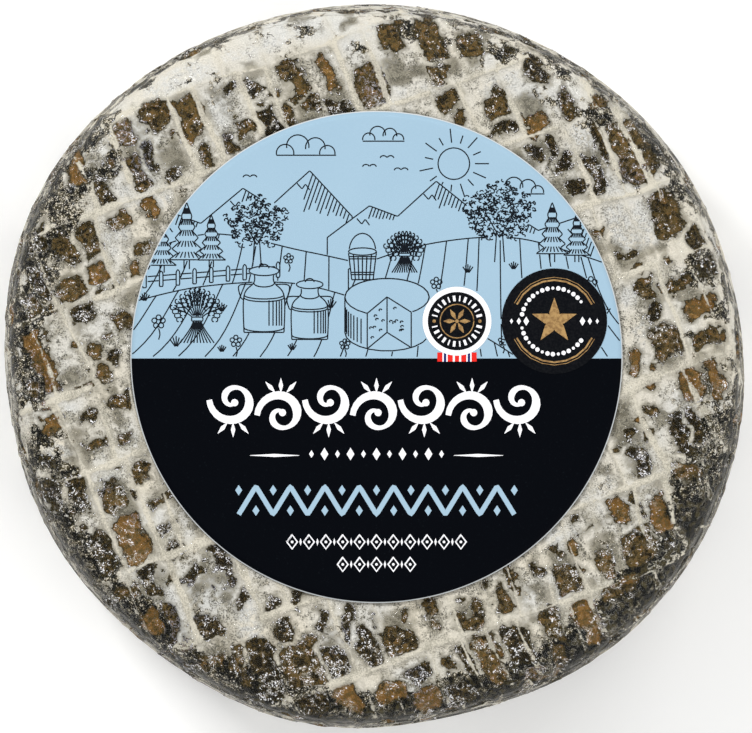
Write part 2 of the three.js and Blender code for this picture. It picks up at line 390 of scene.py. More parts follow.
def face_lattice_cells(share, seed):
    """Cells between the ridges of a level face."""
    cells = []
    for u, v, width, length, tone in lattice_cells(
        LONG_RIDGES, CROSS_PITCH, FIRST_CROSS_RIDGE, range(-11, 11), share, seed
    ):
        spot = face_place(u, v)
        if spot.length < WHEEL_RADIUS - 5:
            cells.append((spot.x, spot.y, width, length, CROSS_RIDGE_TURN, tone))
    return cells


def across_ridges(spots):
    """Cells that are squared up with the ridges: each has a place, two sizes and maybe a tone."""
    return [(*spot[:4], CROSS_RIDGE_TURN, *(spot[4:] or [1])) for spot in spots]


def known_cells():
    """The cells and slots of the upper face that have a place of their own."""
    cells = across_ridges(FACE_CELLS)
    for bearing, distance, length, width, tone in SLOTS:
        turn = math.radians(bearing)
        place = LABEL_MIDDLE + distance * Vector((math.cos(turn), math.sin(turn)))
        cells.append((*place, width, length, turn, tone))
    return cells


def cells_between(cells, gap, share, seed):
    """Cells of the upper face that fill the room that the given cells leave."""
    found = face_lattice_cells(share, seed)
    x, y = np.array([cell[:2] for cell in found]).T
    room = -cell_depths(x, y, cells)[0]
    from_label = np.hypot(x - LABEL_MIDDLE.x, y - LABEL_MIDDLE.y) - LABEL_RADIUS
    fits = (room > gap) & (from_label > 1)
    return [cell for cell, fitting in zip(found, fits) if fitting]


def rind_fields(points):
    """The rind's pattern at each point: its place in the grid of ridges, wet cells, mould with
    painted shade on the shoulder and side, dirt.
    """
    x, y, z = points.T
    x = x + 1.5 * swell(points, 4.5, 1) + 0.8 * swell(points, 2, 2)
    y = y + 1.5 * swell(points, 4.5, 3) + 0.8 * swell(points, 2, 4)
    level = z + 2 * swell(points, 8, 5) + 0.7 * swell(points, 2, 6)
    radius = np.hypot(x - WHEEL_MIDDLE.x, y - WHEEL_MIDDLE.y)
    bearing = np.arctan2(y - WHEEL_MIDDLE.y, x - WHEEL_MIDDLE.x)
    above = ramp(z, 79, 85)
    under = ramp(-z, -6, -2)
    side = 1 - above - under

    warmth = 0.5 + 0.5 * swell(points, 11, 27)
    column, row = ridge_grid(points)
    side_column = np.arctan2(points[:, 1], points[:, 0]) * SIDE_COLUMNS / (2 * math.pi)
    side_row = (z - SIDE_RIDGE_FOOT) / ROW_PITCH
    side_crest = crest(side_column + COLUMN_WANDER * warmth, side_row + ROW_WANDER * warmth)

    known = known_cells()
    patches = across_ridges(POWDER)
    powder = cell_depths(x, y, patches)[0]
    filling = cells_between(known + patches, 0.6, 0.9, 21)
    wet_above, tone_above = cell_depths(x, y, known + filling, rib=RIB)
    wet_under, tone_under = cell_depths(x, y, face_lattice_cells(0.6, 8), rib=RIB)
    girth = 2 * math.pi * WHEEL_RADIUS
    side_rows = [SIDE_RIDGE_FOOT + (step - 0.1) * ROW_PITCH for step in range(5)]
    side_cells = [
        (u, v, width, length, math.pi / 2, tone)
        for u, v, width, length, tone in lattice_cells(
            side_rows, girth / SIDE_COLUMNS, 0, range(SIDE_COLUMNS), 0.66, 12
        )
    ]
    along = bearing * WHEEL_RADIUS + 2 * swell(points, 8, 9)
    wet_side, tone_side = cell_depths(along, level, side_cells, girth, RIB)
    wet = above * wet_above + under * wet_under + side * wet_side

    bruises = across_ridges(BRUISES) + face_lattice_cells(0.3, 33)
    bruise = cell_depths(x, y, bruises)[0] * (above + under) - 9 * side
    scattered = 5 * swell(points, 7, 23) + 3 * swell(points, 3, 24) - 1.5
    # mould: how much dark mould covers a place; on the shoulder it is partly painted shade, from the
    # shares by bearing
    mould = np.interp(np.degrees(bearing) % 360, MOULD_BEARINGS, DARK_MOULD_AND_SHADE_SHARES)
    mould = mould + (0.27 - 0.65 * mould) * ramp(-z, -82, -68)  # more even down the side
    return {
        "column": column,
        "row": row,
        "crest": crest(column, row) * (above + under) + side_crest * side,
        "wet": wet + 0.3 - 1.2 * ramp(swell(points, 5.5, 22), 0.3, 0.8),
        "tone": np.where(above > 0.5, tone_above, np.where(under > 0.5, tone_under, tone_side)),
        "bruise": np.maximum(bruise, scattered) - 3 * ramp(powder, -1, 2) * above,
        "powder": ramp(powder + 3 * swell(points, 6, 31), -2, 2.5) * above,
        # The extra half near the top of the side wall (about 55 to 85 mm up) is painted shade there,
        # partly dark mould
        "mould": mould * (ramp(radius, 88, 97) + 0.5 * ramp(-z, -85, -79) * ramp(z, 55, 75))
        + 0.5 * swell(points, 5, 25) + 0.3 * swell(points, 2.2, 26) * ramp(radius, 84, 92),
        "warmth": warmth,
        "dirt": 0.5 + 0.35 * swell(points, 3.6, 28) + 0.25 * swell(points, 1.7, 29)
        - 1.4 * np.maximum(0.45 - mould, 0) * ramp(radius, 88, 93),
    }


def face_place(across_cross, across_long):
    """The place on a face with the given distances across the two sets of ridges."""
    cross = Vector((-math.sin(CROSS_RIDGE_TURN), math.cos(CROSS_RIDGE_TURN)))
    long = Vector((-math.sin(LONG_RIDGE_TURN), math.cos(LONG_RIDGE_TURN)))
    area = cross.x * long.y - cross.y * long.x
    return Vector((
        (across_cross * long.y - across_long * cross.y) / area,
        (across_long * cross.x - across_cross * long.x) / area,
    ))


def under_label(points):
    """1 below the label, falling to 0 just outside it."""
    distance = np.hypot(points[:, 0] - LABEL_MIDDLE.x, points[:, 1] - LABEL_MIDDLE.y)
    upper_half = points[:, 2] > WHEEL_HEIGHT / 2
    return ramp(-distance, -LABEL_RADIUS - 1, -LABEL_RADIUS + 1) * upper_half


def label_lift(x, y):
    """How far the label stands off a level plane: it is slack, and its edge lifts at one place."""
    x, y = x - LABEL_MIDDLE.x, y - LABEL_MIDDLE.y
    slack = 0.03 * np.sin(x / 9 + 0.4 * np.sin(y / 13)) * np.cos(y / 11 + x / 40) + 0.03
    loose_x, loose_y = LOOSE_EDGE
    loose = np.exp(-((x - loose_x) ** 2 + (y - loose_y) ** 2) / 22)
    return slack + 0.7 * loose


def sink_of(fields, wall):
    """How far each point of the rind lies below the ridges."""
    hollow = ramp(fields["wet"], *wall)
    return (MOULD_SINK + (CELL_SINK - MOULD_SINK) * hollow) * (1 - fields["crest"])


# ---------------------------------------------------------------- print on the label
# Places here are counted from the label's middle.


def oval(x, y, width, height, start=0, end=360):
    """Points along an oval or a part of one, turning anticlockwise from its right end."""
    angles = np.radians(np.linspace(start, end, max(5, int(abs(end - start) / 14))))
    return np.column_stack([x + width / 2 * np.cos(angles), y + height / 2 * np.sin(angles)])


def ways(count, first=0):
    """Steps of one millimetre at even bearings all round, from the first in degrees."""
    angles = np.radians(first + np.arange(count) * 360 / count)
    return np.column_stack([np.cos(angles), np.sin(angles)])


def mirrored(line):
    return [(-x, y) for x, y in line]


def smooth_line(points, steps=8):
    """A curve that passes through the given points."""
    knots = np.array([points[0], *points, points[-1]], float)
    share = np.linspace(0, 1, steps, endpoint=False)[:, None]
    bends = [
        b + (c - a) / 2 * share + (a - 2.5 * b + 2 * c - d / 2) * share**2
        + (1.5 * (b - c) + (d - a) / 2) * share**3
        for a, b, c, d in zip(knots, knots[1:], knots[2:], knots[3:])
    ]
    return [*np.concatenate(bends), knots[-1]]


def even_steps(points, spacing):
    """The same line with a point at every step."""
    points = np.array(points, float)
    lengths = np.hypot(*np.diff(points, axis=0).T)
    along = np.concatenate([[0], np.cumsum(lengths)])
    places = np.linspace(0, along[-1], max(2, round(along[-1] / spacing) + 1))
    return np.column_stack([np.interp(places, along, points[:, axis]) for axis in (0, 1)])


def within(points, outline):
    """Which of the points lie inside a closed outline."""
    x, y = points.T
    found = np.zeros(len(points), bool)
    for (x0, y0), (x1, y1) in zip(outline, [*outline[1:], outline[0]]):
        if y0 != y1:
            crosses = (y0 > y) != (y1 > y)
            found ^= crosses & (x < x0 + (y - y0) * (x1 - x0) / (y1 - y0))
    return found


class Ink:
    """Strokes of one ink, placed round a point: each has its points and half its widths."""

    def __init__(self, x=0, y=0):
        self.middle = (x, y)
        self.strokes = []

    def lay(self, points, halves):
        self.strokes.append((np.array(points, float) + self.middle, halves))

    def stroke(self, points, *widths):
        """A line whose width changes evenly from one of the widths to the next."""
        places = np.linspace(0, 1, len(points))
        self.lay(points, np.interp(places, np.linspace(0, 1, len(widths)), widths) / 2)

    def dot(self, x, y, size):
        turns = np.radians((0, 35, 65, 90, 115, 145, 180))
        self.lay([(x - size / 2 * math.cos(turn), y) for turn in turns], size / 2 * np.sin(turns))

    def spindle(self, start, end, width, tip=0):
        """A short line that is widest in its middle."""
        ends = np.array((start, end), float)
        self.stroke([ends[0], ends.mean(axis=0), ends[1]], tip, width, tip)

    def lozenge(self, x, y, width, height):
        self.spindle((x, y - height / 2), (x, y + height / 2), width)

    def closed(self, points, width):
        self.stroke([*points, points[0], points[1]], width)

    def mesh(self, rise):
        """The ink as thin closed ribbons that lie on the label."""
        curve = bpy.data.curves.new("ink", "CURVE")
        curve.dimensions = "3D"
        curve.twist_mode = "Z_UP"
        curve.bevel_depth = 1
        curve.bevel_resolution = 0
        curve.use_fill_caps = True
        for points, halves in self.strokes:
            spline = curve.splines.new("POLY")
            spline.points.add(len(points) - 1)
            spots = np.zeros((len(points), 4))
            spots[:, :2] = points
            spline.points.foreach_set("co", spots.ravel())
            spline.points.foreach_set("radius", np.maximum(halves, 0.01))
        lines = bpy.data.objects.new("ink", curve)
        mesh = bpy.data.meshes.new_from_object(lines)
        bpy.data.objects.remove(lines)
        bpy.data.curves.remove(curve)
        return laid_on_label(mesh, rise)


def laid_on_label(mesh, rise):
    """Flattens a mesh into a film of ink that follows the label's surface."""
    points = mesh_points(mesh) + (*LABEL_MIDDLE, 0)
    thickness = np.clip(points[:, 2], -1, 1) * INK_THICKNESS / 2
    points[:, 2] = LABEL_TOP + label_lift(points[:, 0], points[:, 1]) + rise + thickness
    move_points(mesh, points)
    return mesh


def disc_mesh(x, y, radius, rise):
    """A round patch of ink."""
    shape = bmesh.new()
    add_run(shape, (0, 1), (radius, 1), 6)
    add_run(shape, (radius, 1), (radius, -1), 1)
    add_run(shape, (radius, -1), (0, -1), 2)
    mesh = spun_mesh(shape, 80)
    mesh.transform(Matrix.Translation((x, y, 0)))
    return laid_on_label(mesh, rise)


class Picture:
    """Line art drawn from back to front: what is nearer wipes out what lies behind it."""

    def __init__(self, seed):
        self.pick = random.Random(seed)
        self.lines = []
        self.at(0, 0)

    def at(self, x, y, scale=1):
        """Sets the place and scale of what is drawn next."""
        self.spot, self.scale = (x, y), scale
        return self

    def placed(self, line):
        return np.array(line, float) * self.scale + self.spot

    def draw(self, *lines):
        self.lines += [even_steps(self.placed(line), LINE_STEP) for line in lines]

    def keep(self, wanted):
        """Keeps only the stretches of line where wanted(points) is true."""
        points = np.concatenate(self.lines)
        mask = wanted(points)
        ends = np.cumsum([len(line) for line in self.lines])
        breaks = np.union1d(np.flatnonzero(np.diff(mask.astype(int))) + 1, ends[:-1])
        self.lines = [
            stretch
            for stretch, good in zip(np.split(points, breaks), np.split(mask, breaks))
            if good[0] and len(stretch) > 1
        ]

    def wipe(self, outline):
        self.keep(lambda points: ~within(points, self.placed(outline)))

    def thing(self, outline, *lines):
        """A thing with a closed outline, and the lines inside it."""
        self.wipe(outline)
        self.draw([*outline, outline[0]], *lines)


def draw_sun(picture):
    picture.draw(oval(0, 0, 9, 9))
    for step, way in enumerate(ways(15)):
        picture.draw([way * 6, way * (10, 8.4)[step % 2]])


def draw_cloud(picture):
    for x, y, width in ((-6, 0, 5), (-2.4, 2, 6.4), (2.6, 1.6, 5.6), (6, 0, 4.4)):
        picture.draw(oval(x, y, width, width, -10, 190))
    drop = -0.6 / picture.scale
    picture.draw([(-8.5, drop), (8.5, drop)])


def draw_bird(picture):
    picture.draw(oval(-1, 0, 2, 1.6, 20, 170), oval(1, 0, 2, 1.6, 10, 160))


def draw_mountains(picture):
    for peaks in (
        [(-72, 30), (-58, 41), (-50, 38), (-38, 48), (-30, 43), (-19, 53), (-6, 39), (2, 36)],
        [(-14, 34), (-2, 43), (6, 40), (17, 50), (27, 42), (33, 44.5), (46, 36), (58, 40), (72, 28)],
    ):
        picture.thing([*peaks, (peaks[-1][0], 20), (peaks[0][0], 20)])
        for (_, y0), (x1, y1), (x2, y2) in zip(peaks, peaks[1:], peaks[2:]):
            if y1 < y0 or y1 < y2:
                continue
            steps = int((x2 - x1) / 0.85)
            for share in np.arange(1, steps) / steps:
                x, y = x1 + (x2 - x1) * share, y1 + (y2 - y1) * share
                drop = (y1 - y2) * picture.pick.uniform(0.35, 0.8) * (1 - share) + 1.2
                picture.draw([(x, y), (x - drop * 0.35, y - drop)])
            snow = ((0, -5.5), (-1.2, -3.8), (-2.2, -5.2), (-3.6, -3.6))
            picture.draw([(x1 + x, y1 + y) for x, y in snow])


def draw_fields(picture):
    for crest, foot, furrows in (
        ([(-72, 27), (-48, 35), (-20, 30), (4, 25), (20, 24)], (-10, 12), 18),
        ([(-8, 25), (14, 32), (38, 34), (58, 29), (72, 24)], (6, 6), 19),
        ([(-72, 15), (-50, 20), (-24, 21), (0, 15), (24, 9), (40, 0)], (-44, -6), 20),
    ):
        line = smooth_line(crest)
        picture.thing([*line, (line[-1][0], -4), (line[0][0], -4)])
        for furrow in range(1, furrows):
            x, y = line[round(furrow * (len(line) - 1) / furrows)]
            spread = (furrow / furrows - 0.5) * 2
            end = (x + foot[0] * 0.4 + spread * 34, foot[1] - 10)
            bend = (x + (end[0] - x) * 0.3, y + (end[1] - y) * 0.5)
            picture.draw(smooth_line([(x, y), bend, end]))


def draw_fence(picture):
    ends = np.array([(-66, 20.5), (-28, 23.5)])
    picture.draw(ends + (0, 0.9), ends + (0, 2.3))
    for post in np.linspace(*ends, 9):
        picture.at(*post).thing([(-0.5, -0.8), (0.5, -0.8), (0.5, 3), (0, 3.7), (-0.5, 3)])


def draw_fir(picture):
    tiers = [(0.82 * tier / 5, 1 - tier / 5.6) for tier in range(5)]
    right = []
    for level, size in tiers:
        right += [(0.27 * size, 0.14 + level), (0.135 * size, 0.24 + level)]
    trunk = [(0.04, 0.14), (0.04, 0)]
    picture.thing([*right, (0, 1), *mirrored(reversed(right))], trunk, mirrored(trunk))
    for level, size in tiers:
        for share in (-0.7, -0.4, -0.12, 0.16, 0.44, 0.72):
            x = share * 0.24 * size
            picture.draw([(0.6 * x, level + 0.26), (x, level + 0.17)])


def draw_leafy_tree(picture):
    size, pick = picture.scale, picture.pick
    picture.wipe(oval(0, 0.72, 0.95, 0.78))
    trunk = [(-0.07, 0), (-0.04, 0.45)]
    picture.draw(trunk, mirrored(trunk), [(0, 0.35), (-0.2, 0.7)], [(0, 0.35), (0.22, 0.72)])
    for leaf in range(int(size * size * 1.1)):
        turn = pick.uniform(0, 2 * math.pi)
        reach = math.sqrt(pick.random()) / 2 * (1 + 0.12 * math.sin(5 * turn))
        start = pick.uniform(0, 360)
        x, y = reach * math.cos(turn), 0.72 + 0.82 * reach * math.sin(turn)
        picture.draw(oval(x, y, 1.2 / size, 0.9 / size, start, start + 150))


def draw_churn(picture):
    body = smooth_line([(-0.3, 0), (-0.3, 0.55), (-0.15, 0.75), (-0.15, 0.9)])
    picture.thing([*body, *mirrored(reversed(body))])
    for level, width in ((0.07, 0.6), (0.52, 0.6), (0.56, 0.6), (0.74, 0.312)):
        picture.draw(oval(0, level, width, 0.12, 180, 360))
    picture.thing(oval(0, 0.92, 0.45, 0.14))
    handle = smooth_line([(0.18, 0.72), (0.375, 0.7), (0.345, 0.52), (0.3, 0.5)])
    picture.draw(oval(0, 0.96, 0.15, 0.12, 0, 180), mirrored(handle), handle)
    for x in (0.075, 0.135, 0.186, 0.228, 0.264):
        picture.draw([(x, 0.1), (x, 0.48)])


def draw_cut_cheese(picture):
    size, pick = picture.scale, picture.pick
    up = np.array((0, 0.42))
    rim, foot = (*up, 1, 0.44), (0, 0, 1, 0.44)
    picture.thing([*oval(*foot, 180, 360), *oval(*rim, 0, 180)], oval(*rim))
    left, right = oval(*rim, 242, 243)[0], oval(*rim, 305, 306)[0]
    picture.wipe([up, left, left - up, right - up, right])
    picture.draw([left, up, right], [up, (0, 0)], [left, left - up, (0, 0)],
                 [(0, 0), right - up, right])
    for spot in range(16):
        along, down = pick.uniform(0.12, 0.85), pick.uniform(0.15, 0.85)
        vein = up + ((right, left)[spot % 2] - up) * along - down * up
        picture.draw(oval(*vein, 0.9 / size, 0.6 / size, 0, 250))
    for turn in range(190, 239, 7):
        rib = oval(*foot, turn, turn + 1)[0]
        picture.draw([rib + 0.1 * up, rib + 0.8 * up])


def draw_sheaf(picture):
    mm = 1 / picture.scale
    for stalk in range(-5, 6):
        top_x, top_y = stalk * 0.085, 0.93 - 0.012 * stalk * stalk
        picture.draw(smooth_line([(stalk * 0.06, 0), (stalk * 0.22 * mm, 0.42), (top_x, top_y)], 6))
        for grain in range(4):
            x, y = top_x - grain * stalk * 0.12 * mm, top_y - grain * 1.15 * mm
            for side, start, end in ((-0.45, 60, 300), (0.45, -120, 120)):
                picture.draw(oval(x + side * mm, y, 0.8 * mm, 1.3 * mm, start, end))
    tie = 1.6 * mm
    picture.thing([(-tie, 0.39), (tie, 0.39), (tie, 0.46), (-tie, 0.46)])


def draw_bucket(picture):
    picture.thing([(-0.5, 1), (-0.38, 0), (0.38, 0), (0.5, 1)])
    for share in (-0.66, -0.33, 0, 0.33, 0.66):
        picture.draw([(share * 0.38, 0), (share * 0.5, 1)])
    for level in (0.18, 0.26, 0.74, 0.82):
        half = 0.38 + 0.12 * level
        picture.draw([(-half, level), (half, level)])
    picture.thing(oval(0, 1, 1, 0.26))
    picture.draw(oval(0, 1, 0.95, 1.3, 8, 172))


def draw_flower(picture):
    for way in ways(5, 90):
        picture.draw(oval(*way * 0.55, 0.62, 0.62))
    picture.draw(smooth_line([(0, -0.8), (0.4 / picture.scale, -1.5), (0, -2.2)], 4))


def draw_tuft(picture):
    for lean in (-0.6, -0.3, 0, 0.3, 0.6):
        picture.draw([(lean * 0.5 / picture.scale, 0), (lean, 1 - abs(lean) * 0.5)])


# What the landscape shows, from back to front, and where: x, y, scale
LANDSCAPE = (
    (draw_sun, [(22, 55)]),
    (draw_cloud, [(-20, 58, 1), (2, 62, 0.7), (41, 47, 0.8)]),
    (draw_bird, [(-2, 54), (3, 56.5), (-36, 51), (7, 53)]),
    (draw_mountains, [(0, 0)]),
    (draw_fields, [(0, 0)]),
    (draw_fence, [(0, 0)]),
    (draw_fir, [(-61, 24, 15), (-54, 25, 19), (-47, 25.5, 15), (57, 27, 14), (50, 27, 17)]),
    (draw_leafy_tree, [(-34, 26, 17), (35, 27, 20)]),
    (draw_sheaf, [(-51, 4, 16), (8, 24, 12)]),
    (draw_churn, [(-32, 7, 19), (-19, 5, 17)]),
    (draw_cut_cheese, [(3, 7, 24)]),
    (draw_bucket, [(-4, 22, 8)]),
    (draw_flower, [(-62, 10, 2.3), (-40, 4.5, 2), (-9, 3.6, 1.8), (17, 21, 2), (61, 21, 2.2),
                   (-25, 28, 1.7), (19, 4.6, 1.8), (36, 4.6, 1.6), (47, 21.6, 1.7)]),
    (draw_tuft, [(-57, 3, 3), (-44, 13, 2.5), (-13, 14, 2.6), (22, 12, 2.4), (-66, 16, 2.4),
                 (26, 24, 2.4), (65, 12, 2.6), (-24, 2, 2), (39, 25, 2.2), (-44, 1.5, 2)]),
)


def landscape():
    """Mountains, fields, trees and dairy things, as line art for the label's upper half."""
    picture = Picture(14)
    for draw, spots in LANDSCAPE:
        for spot in spots:
            draw(picture.at(*spot))
    picture.keep(lambda points: np.hypot(*points.T) < LABEL_RADIUS - 0.4)
    picture.keep(lambda points: points[:, 1] > 0)
    for x, y, radius in (LEFT_SEAL, RIGHT_SEAL):
        picture.at(x, y).wipe(oval(0, 0, 2 * radius + 0.4, 2 * radius + 0.4))
    ink = Ink()
    for line in picture.lines:
        ink.stroke(line, LINE_WIDTH)
    return ink


def white_print():
    """A running scroll of thick and thin strokes as wide as a headline, and small ornaments."""
    ink = Ink()
    turns, reach = np.radians(np.linspace(180, -300, 36)), np.linspace(6.8, 0.9, 36)
    for unit in range(-3, 4):
        x, level, way = unit * 13.6, -14.4, 1 if unit % 2 == 0 else -1
        curl = np.column_stack([
            x + reach * np.cos(turns), level + way * (reach * np.sin(turns) - 2.2)
        ])
        ink.stroke(curl, 1.6, 2.3, 2.6, 1.1, 1.9, 1.2, 0.8)
        ink.dot(*curl[-1], 2.1)
        for lean, size in ((-4.4, 5.2), (0, 6.2), (4.4, 5.2)):
            base, tip = level + way * 4.2, level + way * (2.2 + size)
            ink.spindle((x + lean * 0.35, base), (x + lean, tip), 1.3, 0.1)
    for step in range(-5, 6):
        size = 2.2 if step % 2 else 3.6
        ink.lozenge(step * 3.7, -27.6, size * 0.62, size)
    for side in (-1, 1):
        ink.spindle((side * 22, -28), (side * 36, -28), 0.9, 0.15)
    for count, level in ((11, -52.6), (5, -59)):
        for step in range(count):
            x = (step - (count - 1) / 2) * 4.8
            ink.closed([(x - 1.5, level), (x, level + 2), (x + 1.5, level), (x, level - 2)], 0.5)
            ink.dot(x, level, 0.8)
            if step:
                ink.lozenge(x - 2.4, level, 0.7, 2.2)
    return ink


def blue_print():
    """A woven-looking zigzag with lozenges in its gaps."""
    ink = Ink(0, -40.8)
    corners = [(step * 4.9, 4 if step % 2 else -4) for step in range(-8, 9)]
    ink.stroke(even_steps(corners, 0.7), 1.4)
    for x, y in corners:
        ink.lozenge(x, -2.9 * y / 4, 2, 3)
    return ink


def left_seal_inks():
    white, gold = Ink(*LEFT_SEAL[:2]), Ink(*LEFT_SEAL[:2])
    gold.closed(oval(0, 0, 9.6, 9.6), 0.3)
    for step, way in enumerate(ways(26)):
        if step % 13:
            white.stroke([way * 5.7, way * 7.3], 0.75 if step % 2 else 0.4)
        else:
            gold.dot(*way * 6.5, 1)
    for way in ways(6):
        gold.stroke([way * 0.7, way * 2.2, way * 3.8], 0.3, 1.3, 0.2)
    gold.dot(0, 0, 1.1)
    return white, gold


def right_seal_inks():
    white, gold = Ink(*RIGHT_SEAL[:2]), Ink(*RIGHT_SEAL[:2])
    for radius, width in ((11.7, 0.5), (12.5, 0.2)):
        for start in (24, 204):
            gold.stroke(oval(0, 0, 2 * radius, 2 * radius, start, start + 132), width)
    for way in ways(5, 90):
        gold.stroke([(0, 0), way * 2.5, way * 6.6], 2.6, 2.9, 0.1)
    for start in (36, 192):
        for step, turn in enumerate(np.radians(np.linspace(start, start + 132, 15))):
            white.dot(9.4 * math.cos(turn), 9.4 * math.sin(turn), 1.3 if step % 3 else 0.9)
    for side in (-1, 1):
        for step, size in enumerate((2.6, 2, 1.5)):
            white.lozenge(side * (8 + 2.1 * step), 0, size * 0.62, size)
    return white, gold


def ribbon_inks():
    """A short striped ribbon under the smaller seal."""
    x, y, radius = LEFT_SEAL
    red, white, navy = (Ink(x, y - radius - 0.4) for ink in range(3))
    red.stroke([(-5.6, 0), (5.6, 0)], 2.6)
    for ink, stripe, width in ((white, 3.4, 1.5), (navy, 3.4, 0.7), (white, 0.9, 0.6)):
        for x in (-stripe, stripe):
            ink.stroke([(x, -1.32), (x, 1.32)], width)
    return red, white, navy


# ---------------------------------------------------------------- pieces


def print_piece(mesh, name, ink):
    """Adds print to the label. Its faces are level, so they aren't shaded as round."""
    finish_piece(mesh, name, ink)
    mesh.shade_flat()


def finish_piece(mesh, name, material, stands_for=None):
    """Turns millimetres into metres and hangs the piece on the object."""
    mesh.name = name
    mesh.transform(Matrix.Scale(MM, 4))
    mesh.shade_smooth()
    mesh.materials.clear()
    mesh.materials.append(material)
    piece = bpy.data.objects.new(name, mesh)
    bpy.context.scene.collection.objects.link(piece)
    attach(piece, "root")
    if stands_for:
        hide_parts(stands_for)
    return piece


def move_points(mesh, points):
    mesh.vertices.foreach_set("co", points.astype(np.float32).ravel())
    mesh.update()


# ---------------------------------------------------------------- shader wires


class Wire:
    """The output of a shader node. Sums on wires add their Math nodes."""

    def __init__(self, finish, socket):
        self.finish = finish
        self.socket = socket

    def reckon(self, operation, *values):
        return self.finish.add("Math", {"operation": operation}, *values)

    def __add__(self, other):
        return self.reckon("ADD", self, other)

    def __sub__(self, other):
        return self.reckon("SUBTRACT", self, other)

    def __rsub__(self, other):
        return self.reckon("SUBTRACT", other, self)

    def __mul__(self, other):
        return self.reckon("MULTIPLY", self, other)

    def __truediv__(self, other):
        return self.reckon("DIVIDE", self, other)

    def __abs__(self):
        return self.reckon("ABSOLUTE", self)

    __radd__ = __add__
    __rmul__ = __mul__

    def root(self):
        return self.reckon("SQRT", self)

    def nearest_whole(self):
        return self.reckon("ROUND", self)

    def whole_below(self):
        return self.reckon("FLOOR", self)

    def most(self, other):
        return self.reckon("MAXIMUM", self, other)

    def least(self, other):
        return self.reckon("MINIMUM", self, other)

    def other(self, name):
        """Another output of the same node."""
        return Wire(self.finish, self.socket.node.outputs[name])

    def rise(self, start, end):
        """0 at start and 1 at end, with a smooth rise between."""
        return self.finish.add(
            "MapRange", {"interpolation_type": "SMOOTHSTEP"},
            value=self, from_min=start, from_max=end,
        )


class Finish:
    """A material that is being made."""

    def __init__(self, name):
        self.material = bpy.data.materials.new(name)
        self.material.use_nodes = True
        self.tree = self.material.node_tree
        self.tree.nodes.clear()
        self.place = self.add("TexCoord", output="Object")

    def plug(self, socket, value):
        if isinstance(value, Wire):
            self.tree.links.new(value.socket, socket)
        elif socket.type == "RGBA":
            socket.default_value = (*value[:3], 1)
        else:
            socket.default_value = value

    def add(self, kind, settings=None, *values, output=None, **inputs):
        """Makes a node. Values go to its sockets in order, and inputs to the sockets they name."""
        node = self.tree.nodes.new("ShaderNode" + kind)
        for name, value in (settings or {}).items():
            if name == "stops":
                fill_ramp(node.color_ramp, value)
            else:
                setattr(node, name, value)
        sockets = [socket for socket in node.inputs if socket.enabled]
        for socket, value in zip(sockets, values):
            self.plug(socket, value)
        by_name = {socket.name.lower().replace(" ", "_"): socket for socket in sockets}
        for name, value in inputs.items():
            self.plug(by_name[name], value)
        found = [out for out in node.outputs if out.enabled and output in (None, out.name)]
        return Wire(self, found[0]) if found else None

    def field(self, name):
        return self.add("Attribute", {"attribute_name": name}, output="Fac")

    def grain(self, size, detail=2, at=None):
        """Noise from 0 to 1, in grains of the given size in millimetres."""
        return self.add(
            "TexNoise", vector=at or self.place, scale=1 / (size * MM), detail=detail,
        )

    def lumps(self, size):
        """Distance to the nearest of many scattered lumps, from 0 in the middle of one."""
        return self.add("TexVoronoi", vector=self.place, scale=1 / (size * MM))

    def mix(self, share, first, second):
        return self.add("Mix", {"data_type": "RGBA"}, factor=share, a=first, b=second)

    def painted(self, colour, *coats):
        """A colour under coats of others, each with the share that it covers."""
        for share, paint in coats:
            colour = self.mix(share, colour, paint)
        return colour

    def bump(self, height):
        """A normal from a height in millimetres."""
        return self.add("Bump", height=height, distance=MM)

    def axes(self):
        x = self.add("SeparateXYZ", None, self.place)
        return x, x.other("Y"), x.other("Z")

    def luck(self, place):
        """A chance colour for each whole place."""
        return self.add("TexWhiteNoise", {"noise_dimensions": "2D"}, place, output="Color")

    def channel(self, colour, name):
        return self.add("SeparateColor", None, colour, output=name)

    def show(self, shader):
        output = self.tree.nodes.new("ShaderNodeOutputMaterial")
        self.tree.links.new(shader.socket, output.inputs["Surface"])
        return self.material

    def coat(self, **inputs):
        return self.show(self.add("BsdfPrincipled", **inputs))


def fill_ramp(color_ramp, stops):
    while len(color_ramp.elements) < len(stops):
        color_ramp.elements.new(1)
    for element, (position, colour) in zip(color_ramp.elements, stops):
        element.position = position
        element.color = (*colour[:3], 1)


def ridge_wire(finish):
    """How deep a place lies inside the nearest ridge, in millimetres. Some ridges are missing."""
    x, y, z = finish.axes()
    half = WHEEL_HEIGHT / 2
    on_face = abs(z - half * MM).rise((half - 6.5) * MM, (half - 6) * MM)
    bearing = finish.add("Math", {"operation": "ARCTAN2"}, y, x)
    wander = finish.field("warmth")
    side_column = bearing * (SIDE_COLUMNS / (2 * math.pi)) + wander * COLUMN_WANDER
    side_row = (z - SIDE_RIDGE_FOOT * MM) / (ROW_PITCH * MM) + wander * ROW_WANDER
    column = side_column + (finish.field("column") - side_column) * on_face
    row = side_row + (finish.field("row") - side_row) * on_face
    line = column.nearest_whole()
    segment = finish.add("CombineXYZ", None, line, row.whole_below())
    luck = finish.luck(segment)
    shift, width, chance = (finish.channel(luck, name) for name in ("Red", "Green", "Blue"))
    lean = (row - row.whole_below() - 0.5) * (width - 0.5) * 0.3
    cross = width * 0.7 + 0.15 - (0.34 - chance).most(0) * 9  # a third of them are worn away
    cross = cross - abs(column - line + (shift - 0.5) * 0.5 + lean) * CROSS_PITCH
    stretch = finish.add("CombineXYZ", None, column.whole_below() + 0.5, row.nearest_whole())
    body = finish.add("TexWhiteNoise", {"noise_dimensions": "2D"}, stretch, output="Value")
    long = body * 1.3 - 0.2 - abs(row - row.nearest_whole()) * ROW_PITCH
    return cross.reckon("SMOOTH_MAX", cross, long, 1.3)


